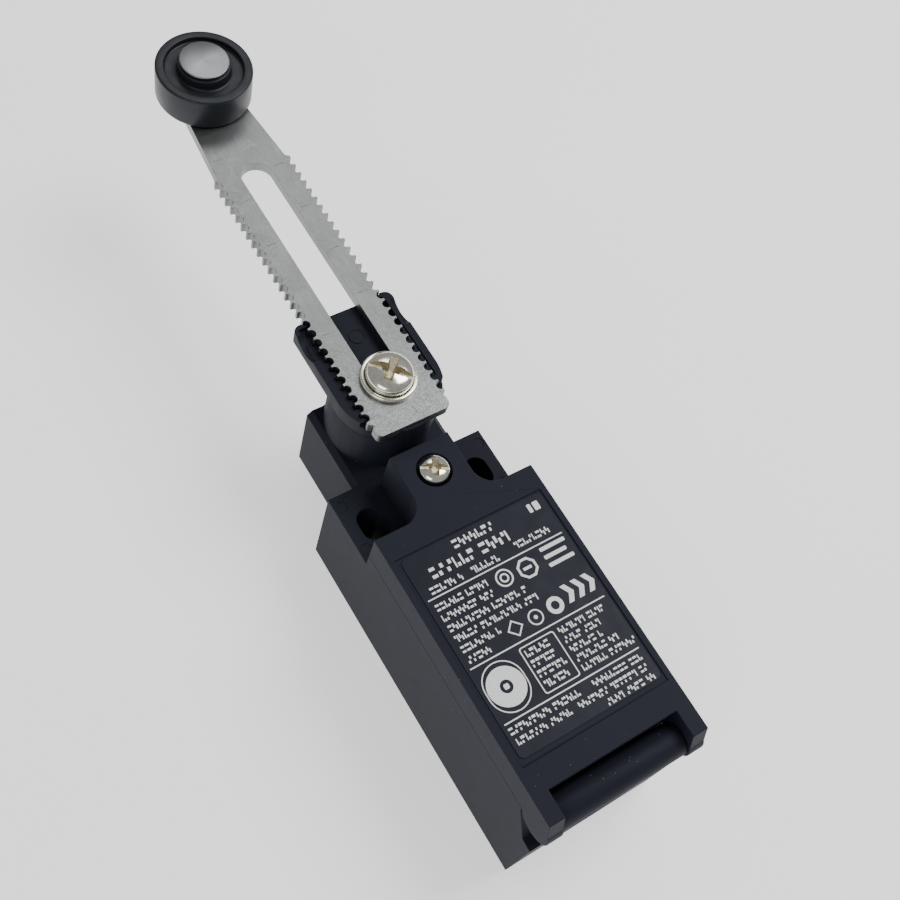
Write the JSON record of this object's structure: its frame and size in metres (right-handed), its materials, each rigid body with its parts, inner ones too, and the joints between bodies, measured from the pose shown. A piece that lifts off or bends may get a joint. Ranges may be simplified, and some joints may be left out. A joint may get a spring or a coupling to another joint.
{
  "type": "limit switch",
  "caption": "Compact plastic limit switch with a hinged front cover and a toothed, length-adjustable lever arm that carries a plastic roller.",
  "frame": {"origin": "midway between the two mounting slots, on the mounting face", "axes": "+X across the body to the right when the cover is seen with the roller up, +Y along the body towards the head and roller, +Z out of the mounting face towards the cover"},
  "size_m": [0.031, 0.1525, 0.0433],
  "materials": {
    "case_plastic": "fine matt glass-filled plastic",
    "cover_plastic": "fine matt glass-filled plastic",
    "lever_plastic": "matt glass-filled plastic",
    "label_film": "matt printed film",
    "roller_resin": "satin turned resin",
    "white_resin": "smooth acetal",
    "block_resin": "moulded insulating resin",
    "red_resin": "moulded insulating resin",
    "seal_rubber": "soft nitrile rubber",
    "zinc_steel": "zinc-plated steel",
    "nickel_steel": "nickel-plated steel",
    "pin_steel": "turned steel",
    "spring_steel": "bright spring steel",
    "bronze": "sintered bronze",
    "contact_copper": "copper alloy with silver contact rivets",
    "contact_brass": "stamped brass"
  },
  "bodies": {
    "body": {"case": "case_plastic", "head": "case_plastic", "head_rear_cap": "case_plastic", "head_gasket": "seal_rubber", "head_clip": "spring_steel", "shaft_bush": "bronze", "shaft_seal": "seal_rubber", "contact_block": "block_resin", "contact_block_lid": "block_resin", "terminal_closed_left": "contact_brass", "terminal_closed_right": "contact_brass", "terminal_open_left": "contact_brass", "terminal_open_right": "contact_brass", "terminal_screws": "zinc_steel", "terminal_clamps": "zinc_steel"},
    "cover": {"cover": "cover_plastic", "cover_gasket": "seal_rubber", "cover_screw": "nickel_steel", "cover_screw_ring": "seal_rubber", "label_plate": "label_film"},
    "lever": {"lever_shaft": "spring_steel", "cam": "white_resin", "shaft_clip": "spring_steel", "lever_base": "lever_plastic", "lever_arm": "zinc_steel", "lever_washer": "nickel_steel", "lever_screw": "nickel_steel", "roller_bush": "spring_steel", "roller_pin": "pin_steel"},
    "roller": {"roller": "roller_resin"},
    "plunger": {"plunger": "white_resin", "plunger_spring": "spring_steel"},
    "carrier": {"contact_carrier": "red_resin", "carrier_spring": "spring_steel", "contact_springs": "spring_steel", "bridge_closed": "contact_copper", "bridge_open": "contact_copper"}
  },
  "joints": [
    {"name": "lever_swing", "type": "hinge", "parent": "body", "child": "lever", "pos_m": [0, 0.018, 0.03], "axis": [0, 0, 1], "range_deg": [-75, 75], "stiffness_Nm_per_rad": 0.12},
    {"name": "roller_spin", "type": "hinge", "parent": "lever", "child": "roller", "pos_m": [0, 0.0855, 0.038], "axis": [0, 0, 1], "continuous": true},
    {"name": "cover_hinge", "type": "hinge", "parent": "body", "child": "cover", "pos_m": [0, -0.055, 0.0251], "axis": [1, 0, 0], "range_deg": [0, 100]},
    {"name": "plunger_travel", "type": "slide", "parent": "body", "child": "plunger", "axis": [0, -1, 0], "range_m": [0, 0.0025], "stiffness_N_per_m": 400, "deforming": ["plunger_spring"]},
    {"name": "carrier_travel", "type": "slide", "parent": "body", "child": "carrier", "axis": [0, -1, 0], "range_m": [0, 0.0025], "deforming": ["carrier_spring"]}
  ],
  "couplings": [
    {"joint": "carrier_travel", "follows": "plunger_travel", "ratio": 1}
  ]
}
